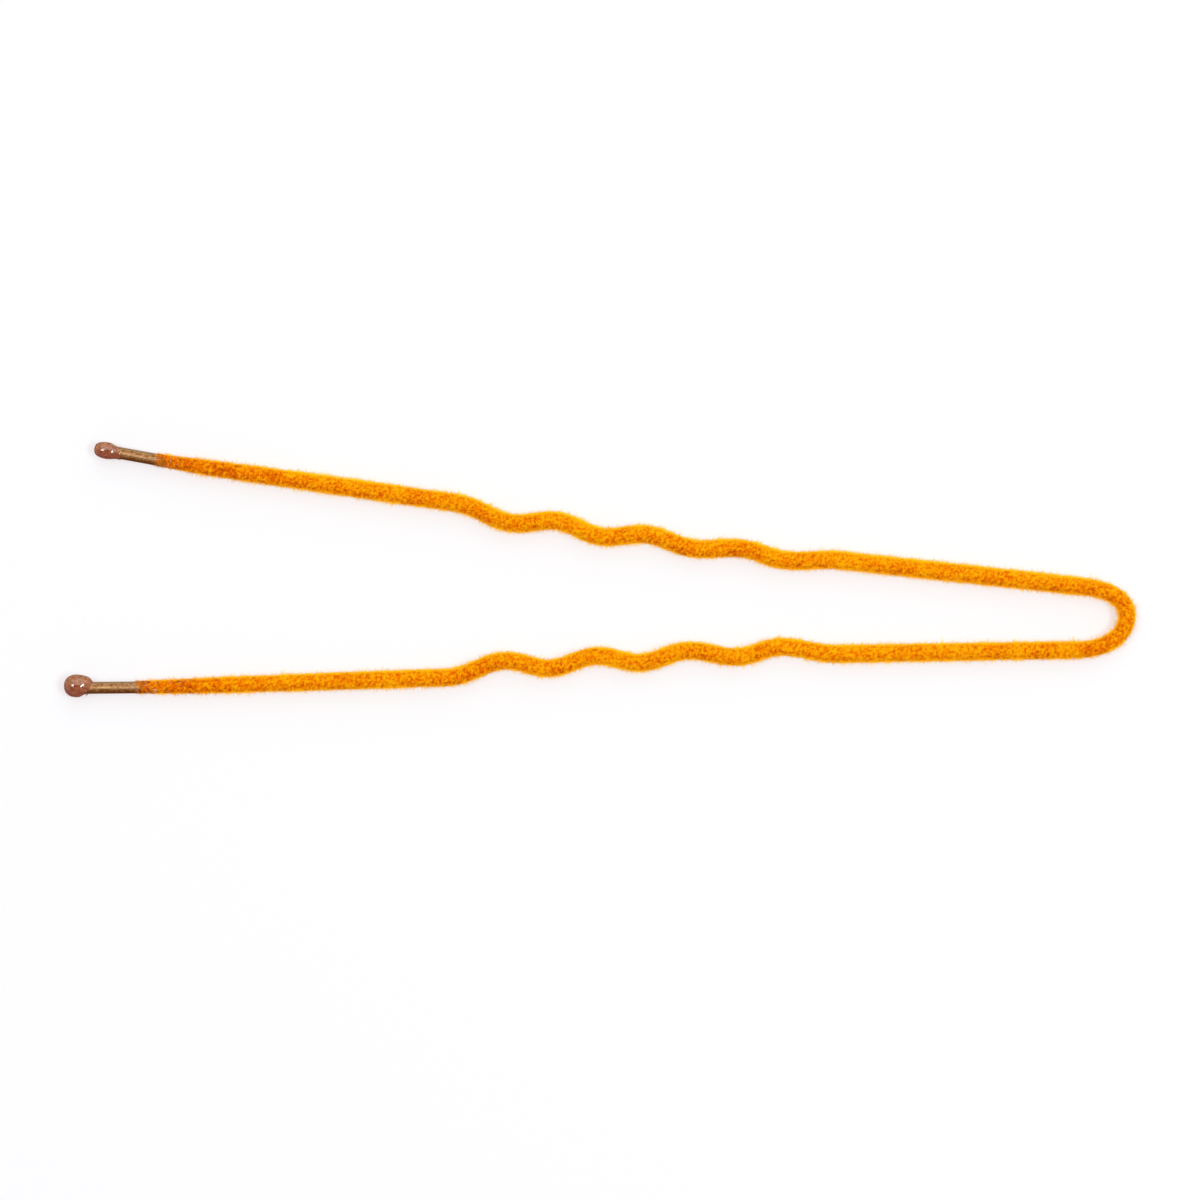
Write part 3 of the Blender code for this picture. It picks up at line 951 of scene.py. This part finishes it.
# %% Group: blotches between two colours
def mix_colours(tree, factor, first, second, blend_type="MIX"):
    """A Mix node on two colours, which are its sockets 6 and 7."""
    inputs = {0: factor, 6: first, 7: second}
    return add_node(tree, "ShaderNodeMix", inputs, data_type="RGBA", blend_type=blend_type).outputs[2]


mottle = bpy.data.node_groups.new("mottle", "ShaderNodeTree")
given, result = add_sockets(
    mottle,
    [
        ("Vector", "NodeSocketVector", None),
        ("Patch Size", "NodeSocketFloat", 0.2 * MM),
        ("Balance", "NodeSocketFloat", 0.5),
        ("Softness", "NodeSocketFloat", 0.1),
        ("Dark Colour", "NodeSocketColor", (0.1, 0.1, 0.1, 1.0)),
        ("Light Colour", "NodeSocketColor", (0.8, 0.8, 0.8, 1.0)),
    ],
    [("Colour", "NodeSocketColor"), ("Mask", "NodeSocketFloat")],
)
scale = calculate(mottle, "DIVIDE", 1.0, given["Patch Size"])
patches = add_node(
    mottle,
    "ShaderNodeTexNoise",
    {"Vector": given["Vector"], "Scale": scale, "Detail": 3.0, "Roughness": 0.6},
)
low = calculate(mottle, "SUBTRACT", given["Balance"], given["Softness"])
high = calculate(mottle, "ADD", given["Balance"], given["Softness"])
mask = map_range(mottle, patches.outputs["Fac"], low, high, kind="SMOOTHSTEP")
blend = mix_colours(mottle, mask, given["Dark Colour"], given["Light Colour"])
mottle.links.new(blend, result["Colour"])
mottle.links.new(mask, result["Mask"])

# %% Group: fine unevenness
grain = bpy.data.node_groups.new("grain", "ShaderNodeTree")
given, result = add_sockets(
    grain,
    [("Vector", "NodeSocketVector", None), ("Grain Size", "NodeSocketFloat", 0.05 * MM)],
    [("Height", "NodeSocketFloat")],
)
scale = calculate(grain, "DIVIDE", 1.0, given["Grain Size"])
bumps = add_node(grain, "ShaderNodeTexNoise", {"Vector": given["Vector"], "Scale": scale, "Detail": 2.0})
grain.links.new(bumps.outputs["Fac"], result["Height"])

# %% Group: flock colour from its shade
flock_tint = bpy.data.node_groups.new("flock tint", "ShaderNodeTree")
given, result = add_sockets(
    flock_tint,
    [
        ("Shade", "NodeSocketFloat", 0.5),
        ("Hollow Colour", "NodeSocketColor", (0.3, 0.07, 0.0, 1.0)),
        ("Dark Colour", "NodeSocketColor", (0.5, 0.1, 0.0, 1.0)),
        ("Middle Colour", "NodeSocketColor", (0.9, 0.3, 0.0, 1.0)),
        ("Light Colour", "NodeSocketColor", (1.0, 0.45, 0.0, 1.0)),
    ],
    [("Colour", "NodeSocketColor")],
)

colour = given["Hollow Colour"]
# The shade at which each colour shows pure.
stops = ((0.0, "Hollow Colour"), (0.3, "Dark Colour"), (0.65, "Middle Colour"), (1.0, "Light Colour"))
for (low, _), (high, name) in zip(stops, stops[1:]):
    share = map_range(flock_tint, given["Shade"], low, high)
    colour = mix_colours(flock_tint, share, colour, given[name])
flock_tint.links.new(colour, result["Colour"])

# %% Group: light at the pile's rim
RIM_COLOUR = (1.0, 0.57, 0.01, 1.0)
RIM_GLOW = (1.0, 0.52, 0.01, 1.0)
NO_GLOW = (0.0, 0.0, 0.0, 1.0)
RIM_FROM, RIM_TO = 0.28, 0.92
HOLLOW_SHADE, TUFT_SHADE = 0.2, 0.7

rim_light = bpy.data.node_groups.new("rim light", "ShaderNodeTree")
given, result = add_sockets(
    rim_light,
    [
        ("Facing", "NodeSocketFloat", 0.0),
        ("Shade", "NodeSocketFloat", 0.5),
        ("Colour", "NodeSocketColor", (0.9, 0.3, 0.0, 1.0)),
    ],
    [("Colour", "NodeSocketColor"), ("Glow", "NodeSocketColor")],
)
rim = map_range(rim_light, given["Facing"], RIM_FROM, RIM_TO)
on_tuft = map_range(rim_light, given["Shade"], HOLLOW_SHADE, TUFT_SHADE)
rim = calculate(rim_light, "MULTIPLY", rim, on_tuft)
rim_light.links.new(mix_colours(rim_light, rim, given["Colour"], RIM_COLOUR), result["Colour"])
rim_light.links.new(mix_colours(rim_light, rim, NO_GLOW, RIM_GLOW), result["Glow"])
print("node groups", [group.name for group in bpy.data.node_groups])


# %% Helpers for materials
def new_material(name, **values):
    """A Principled material with its plain values set on the shader's own sockets."""
    material = bpy.data.materials.new(name)
    material.use_nodes = True
    shader = material.node_tree.nodes["Principled BSDF"]
    for socket, value in values.items():
        shader.inputs[socket.replace("_", " ")].default_value = value
    return material, material.node_tree, shader


def object_place(tree, stretch=(1.0, 1.0, 1.0)):
    """The place on the piece, with the pattern stretched along each axis."""
    place = add_node(tree, "ShaderNodeTexCoord").outputs["Object"]
    return add_node(tree, "ShaderNodeMapping", {"Vector": place, "Scale": stretch}).outputs[0]


def kept(tree, name, output="Fac"):
    """An attribute that was kept on the mesh."""
    return add_node(tree, "ShaderNodeAttribute", attribute_name=name).outputs[output]


def roughen(tree, shader, place, grain_size, strength, depth):
    """Breaks a shine with fine bumps."""
    height = use_nodes(tree, grain, {"Vector": place, "Grain Size": grain_size})["Height"]
    inputs = {"Height": height, "Strength": strength, "Distance": depth}
    tree.links.new(add_node(tree, "ShaderNodeBump", inputs).outputs[0], shader.inputs["Normal"])


def grey(tree, value):
    """One value as red, green and blue."""
    return add_node(tree, "ShaderNodeCombineXYZ", {"X": value, "Y": value, "Z": value}).outputs[0]


def paint(item, material):
    item.data.materials.clear()
    item.data.materials.append(material)


# %% [markdown]
# ## Bronze lacquer
# The lacquer is thin and satin, and it is blotchy, with the blotches drawn out along the wire. Its flank
# away from the key light is painted dark, as shade. The lit flank is painted a little darker than the
# ridge, and light again at its edge, as light falls on a round wire. One brown with a bump would look
# like plastic, so two colours are mottled, and the balance between them follows the flank that was kept
# on the mesh, which carries that painted light and shade.

# %% Lacquer
BLOTCH_STRETCH = (0.6, 1.0, 1.0)
RIDGE_BALANCE = 0.42
# Painted light and shade across the wire, set by the flank kept on the mesh.
SHADED_FLANK_DARKNESS, LIT_FLANK_BAND_DARKNESS, LIT_EDGE_PAINTED_LIGHT = 0.37, 0.12, 0.22
SHADED_FLANK_SPAN = (0.08, 0.75)
LIT_FLANK_BAND_SPAN = (-0.08, -0.35)
LIT_EDGE_SPAN = (-0.5, -0.8)
LACQUER_ROUGHNESS = (0.50, 0.28)

bronze, tree, shader = new_material("bronze lacquer", Metallic=0.6, Specular_IOR_Level=0.1)
place = object_place(tree, BLOTCH_STRETCH)
flank = kept(tree, "flank")
# Painted shade: the flank away from the key light is darkened, and the lit flank gets a painted darker band
# and a painted light edge.
shaded_flank = map_range(tree, flank, *SHADED_FLANK_SPAN, 0.0, SHADED_FLANK_DARKNESS)
side = map_range(tree, flank, *LIT_FLANK_BAND_SPAN, 0.0, LIT_FLANK_BAND_DARKNESS)
side = calculate(tree, "SUBTRACT", side, map_range(tree, flank, *LIT_EDGE_SPAN, 0.0, LIT_EDGE_PAINTED_LIGHT))
balance = calculate(tree, "ADD", calculate(tree, "ADD", shaded_flank, side), RIDGE_BALANCE)
tone = use_nodes(tree, mottle, {
    "Vector": place, "Patch Size": 0.14 * MM, "Balance": balance, "Softness": 0.27,
    "Dark Colour": (0.20, 0.052, 0.003, 1.0), "Light Colour": (0.58, 0.34, 0.155, 1.0),
})
tree.links.new(tone["Colour"], shader.inputs["Base Color"])
roughness = map_range(tree, tone["Mask"], 0.0, 1.0, *LACQUER_ROUGHNESS)
tree.links.new(roughness, shader.inputs["Roughness"])
roughen(tree, shader, place, grain_size=0.08 * MM, strength=0.4, depth=0.015 * MM)
for item in (wire_left, wire_right):
    paint(item, bronze)

# %% [markdown]
# ## Dried glue
# The first millimetre of the glue dried smooth and amber. After it the glue is brown in the shade of
# the fibres, with pale specks where it dried thick. The same mottle makes both, because its balance and
# its dark colour can change with the distance from the end, which a plain texture couldn't follow.

# %% Glue finish
SPECKS_AND_SHADE_FROM, SPECKS_AND_SHADE_TO = 0.7 * MM, 1.2 * MM
SMOOTH_BALANCE, SPECKED_BALANCE = 0.68, 0.53
AMBER_GLUE = (0.42, 0.14, 0.012, 1.0)
# Past the first millimetre the glue's dark colour is painted shade from the fibres.
FIBRE_SHADED_GLUE = (0.24, 0.07, 0.004, 1.0)
DRY_GLUE_ROUGHNESS = (0.7, 0.45)

glue_finish, tree, shader = new_material("dried glue", Specular_IOR_Level=0.1)
place = object_place(tree)
# This mask brings both the glue's pale specks and the painted fibre shade.
specks_and_shade = map_range(tree, kept(tree, "from end"), SPECKS_AND_SHADE_FROM, SPECKS_AND_SHADE_TO)
tone = use_nodes(tree, mottle, {
    "Vector": place, "Patch Size": 0.24 * MM, "Softness": 0.06,
    "Balance": map_range(tree, specks_and_shade, 0.0, 1.0, SMOOTH_BALANCE, SPECKED_BALANCE),
    "Dark Colour": mix_colours(tree, specks_and_shade, AMBER_GLUE, FIBRE_SHADED_GLUE),
    "Light Colour": (0.80, 0.42, 0.17, 1.0),
})
tree.links.new(tone["Colour"], shader.inputs["Base Color"])
roughness = map_range(tree, tone["Mask"], 0.0, 1.0, *DRY_GLUE_ROUGHNESS)
tree.links.new(roughness, shader.inputs["Roughness"])
roughen(tree, shader, place, grain_size=0.05 * MM, strength=0.6, depth=0.02 * MM)
for item in (glue_left, glue_right):
    paint(item, glue_finish)

# %% [markdown]
# ## Colour of the pile
# The pile is dyed one orange, but it looks deep orange in its hollows and golden on its tufts and at
# its rim, because light is scattered from fibre to fibre and comes through where they are seen edge on,
# as on velvet. To trace that light, a render would need all the real fibres. So the kept shade picks
# the colour, and sheen with a little glow at grazing angles stands for the light in the rim.

# %% Sheen and rim
SHEEN = {"Sheen_Weight": 0.45, "Sheen_Roughness": 0.45, "Sheen_Tint": (1.0, 0.62, 0.08, 1.0)}
RIM_GLOW_STRENGTH = 0.44


def light_rim(tree, shader, colour, shade):
    """Joins a material to the rim light. The export can't read a Layer Weight node inside the group."""
    outward = kept(tree, "outward", "Vector")
    facing = add_node(tree, "ShaderNodeLayerWeight", {"Blend": 0.5, "Normal": outward}).outputs["Facing"]
    lit = use_nodes(tree, rim_light, {"Facing": facing, "Shade": shade, "Colour": colour})
    tree.links.new(lit["Colour"], shader.inputs["Base Color"])
    tree.links.new(lit["Glow"], shader.inputs["Emission Color"])
    shader.inputs["Emission Strength"].default_value = RIM_GLOW_STRENGTH


# %% Flock roots
SPECK_SIZE = 0.09 * MM
SPECK_SHARE = 1.4

roots_finish, tree, shader = new_material("pile roots", Roughness=0.95, Specular_IOR_Level=0.0, **SHEEN)
place = object_place(tree)
speck = use_nodes(tree, grain, {"Vector": place, "Grain Size": SPECK_SIZE})["Height"]
speck = calculate(tree, "MULTIPLY", calculate(tree, "SUBTRACT", speck, 0.5), SPECK_SHARE)
shade = kept(tree, "shade")
tint = use_nodes(tree, flock_tint, {
    "Shade": calculate(tree, "ADD", shade, speck),
    "Hollow Colour": (0.34, 0.075, 0.0, 1.0), "Dark Colour": (0.71, 0.10, 0.0, 1.0),
    "Middle Colour": (0.80, 0.235, 0.0, 1.0), "Light Colour": (0.90, 0.45, 0.003, 1.0),
})
light_rim(tree, shader, tint["Colour"], shade)
for item in (roots_left, roots_right):
    paint(item, roots_finish)

# %% Flock fibres
ROOT_SHADE = 0.92

flock_finish, tree, shader = new_material("orange flock", Roughness=0.85, Specular_IOR_Level=0.0, **SHEEN)
fibre_uv = add_node(tree, "ShaderNodeUVMap", uv_map="OFBake").outputs[0]
fibre_uv = add_node(tree, "ShaderNodeSeparateXYZ", {0: fibre_uv}).outputs
tint = use_nodes(tree, flock_tint, {
    "Shade": fibre_uv["X"],
    "Hollow Colour": (0.42, 0.10, 0.001, 1.0), "Dark Colour": (0.75, 0.11, 0.0, 1.0),
    "Middle Colour": (0.82, 0.275, 0.0, 1.0), "Light Colour": (0.92, 0.54, 0.005, 1.0),
})
along = map_range(tree, fibre_uv["Y"], MAP_ROOT, MAP_ROOT + MAP_SPAN, ROOT_SHADE, 1.0)
colour = mix_colours(tree, 1.0, tint["Colour"], grey(tree, along), "MULTIPLY")
light_rim(tree, shader, colour, fibre_uv["X"])
for item, _ in pile_pieces:
    paint(item, flock_finish)

# %% [markdown]
# ## Dipped resin
# The tips are glossy and slightly see-through, and blotchy inside. Their flank away from the key light
# is painted a deeper amber: painted shade, tinted as light through the resin. Glass with a coloured
# inside would need many light bounces on so small a drop. Subsurface scattering under a hard coat gives
# the same soft depth and sharp glints, so it is used instead.

# %% Resin
SHADED_SIDE_AMBER = (0.74, 0.31, 0.0, 1.0)
SHADED_SIDE_FROM, SHADED_SIDE_TO = -0.3, 0.7

resin, tree, shader = new_material(
    "dipped resin", Roughness=0.15, Specular_IOR_Level=0.05,
    Coat_Weight=1.0, Coat_Roughness=0.06, Coat_IOR=1.75,
    Subsurface_Weight=1.0, Subsurface_Radius=(1.0, 0.25, 0.10), Subsurface_Scale=0.3 * MM,
)
place = object_place(tree)
tone = use_nodes(tree, mottle, {
    "Vector": place, "Patch Size": 0.25 * MM, "Balance": 0.5, "Softness": 0.22,
    "Dark Colour": (0.27, 0.08, 0.018, 1.0), "Light Colour": (0.49, 0.20, 0.085, 1.0),
})
# Painted shade: the flank away from the key light is turned a deeper amber.
flank = map_range(tree, kept(tree, "flank"), SHADED_SIDE_FROM, SHADED_SIDE_TO)
shaded_amber = mix_colours(tree, 1.0, tone["Colour"], SHADED_SIDE_AMBER, "MULTIPLY")
colour = mix_colours(tree, flank, tone["Colour"], shaded_amber)
tree.links.new(colour, shader.inputs["Base Color"])
for item in (ball_tip, drop_tip):
    paint(item, resin)
print("finishes", [finish.name for finish in (bronze, glue_finish, roots_finish, flock_finish, resin)])

# %% [markdown]
# ## Riding on the frame
# Each leg flexes about a hinge near the bow, and the hinge stands for a wire that really bends over its
# whole length. Here the coats are only set in place, and the CAD pieces that they cover are hidden. The
# tips are hard and ride on their leg.


def bend_with(item):
    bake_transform(item)


layers = [
    (wire_left, LEFT, "bronze_wire", ("wire_bow", "wire_left_leg")),
    (wire_right, RIGHT, "bronze_wire", ("wire_bow", "wire_right_leg")),
    (glue_left, LEFT, "flocking_glue", ("glue_bow", "glue_left_leg")),
    (glue_right, RIGHT, "flocking_glue", ("glue_bow", "glue_right_leg")),
    (roots_left, LEFT, "orange_flock", ("flock_bow", "flock_left_leg")),
    (roots_right, RIGHT, "orange_flock", ("flock_bow", "flock_right_leg")),
]
for item, leg in pile_pieces:
    layers.append((item, leg, "orange_flock", ("flock_bow", "flock_" + leg["body"])))
for item, leg, slot, nodes in layers:
    bend_with(item)
    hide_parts(*nodes)
for item, leg, node in ((ball_tip, RIGHT, "ball_tip_right"), (drop_tip, LEFT, "drop_tip_left")):
    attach(item, leg["body"])
    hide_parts(node)
bpy.data.objects.remove(fibre, do_unlink=True)
print("blended pieces", len(layers))

# %% [markdown]
# ## Table and light
# The pin lies on a plain white table under soft light. The sky is dimmer overhead than at the horizon,
# so that the upper side of the pin isn't flat. A broad softbox stands towards the top of the picture,
# and two small ones give the tips their glints. The table is a pale matte plane. A camera ray sees it
# nearly white, with the pin's soft shadow still on it, and a glossy ray sees it darker, so that the
# round wire and the resin keep some dark at their edges.

# %% Table
TABLE_SIZE = 1.2
TABLE_DROP = 0.002 * MM
TABLE_COLOUR = 0.82
TABLE_IN_GLOSS = 0.28
# A camera ray sees this colour, which takes the shadow, and a lift on top of it to nearly white. The
# colour is bluer and the lift redder, so that the shadow comes out pink, a painted glow of orange light
# thrown from the pile.
TABLE_SEEN_COLOUR = (0.32, 0.43, 0.45, 1.0)
TABLE_LIFT = (0.645, 0.525, 0.520, 1.0)

bpy.ops.object.select_all(action="DESELECT")
bpy.ops.mesh.primitive_plane_add(size=TABLE_SIZE, location=(0.0, 0.0, -TABLE_DROP))
table = bpy.context.object
table.name = "table"
table_paint, tree, shader = new_material("white table", Roughness=0.9, Specular_IOR_Level=0.1)
path_kind = add_node(tree, "ShaderNodeLightPath").outputs
seen = calculate(tree, "MAXIMUM", path_kind["Is Camera Ray"], path_kind["Is Transmission Ray"])
white = map_range(tree, path_kind["Is Glossy Ray"], 0.0, 1.0, TABLE_COLOUR, TABLE_IN_GLOSS)
table_colour = mix_colours(tree, seen, grey(tree, white), TABLE_SEEN_COLOUR)
tree.links.new(table_colour, shader.inputs["Base Color"])
shader.inputs["Emission Color"].default_value = TABLE_LIFT
tree.links.new(seen, shader.inputs["Emission Strength"])
paint(table, table_paint)
table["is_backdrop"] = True

# %% Sky
SKY_TOP, SKY_EDGE = 0.25, 0.58

world = bpy.data.worlds.new("studio")
world.use_nodes = True
bpy.context.scene.world = world
tree = world.node_tree
direction = add_node(tree, "ShaderNodeTexCoord").outputs["Generated"]
up = add_node(tree, "ShaderNodeSeparateXYZ", {0: direction}).outputs["Z"]
level = map_range(tree, up, 0.0, 1.0, SKY_EDGE, SKY_TOP)
tree.links.new(level, tree.nodes["Background"].inputs["Strength"])
tree.nodes["Background"].inputs["Color"].default_value = (1.0, 1.0, 1.0, 1.0)


# %% Softboxes
def softbox(name, azimuth, elevation, distance, width, height, level):
    """An area light that would make a facing white card this bright by itself."""
    turn, lift = math.radians(azimuth), math.radians(elevation)
    direction = Vector((math.cos(lift) * math.cos(turn), math.cos(lift) * math.sin(turn), math.sin(lift)))
    bpy.ops.object.light_add(type="AREA", location=direction * distance)
    light = bpy.context.object
    light.name = name
    light.data.shape = "RECTANGLE"
    light.data.size = width
    light.data.size_y = height
    light.data.energy = level * math.pi ** 2 * distance ** 2
    light.rotation_euler = direction.to_track_quat("Z", "Y").to_euler()
    print(name, "power in watts", round(light.data.energy, 2))


softbox("key", azimuth=80.0, elevation=48.0, distance=0.6, width=0.80, height=0.70, level=0.47)
softbox("left glint", azimuth=176.0, elevation=64.0, distance=0.6, width=0.20, height=0.14, level=0.23)
softbox("right glint", azimuth=-6.0, elevation=61.0, distance=0.6, width=0.24, height=0.11, level=0.38)

# %% [markdown]
# ## Size of the visual model
# The visual model has to keep the CAD model's size, so its box is printed in millimetres.

# %% Sizes and finish
low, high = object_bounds()
print("visual box in mm", [round(value / MM, 2) for value in (*low, *high)])
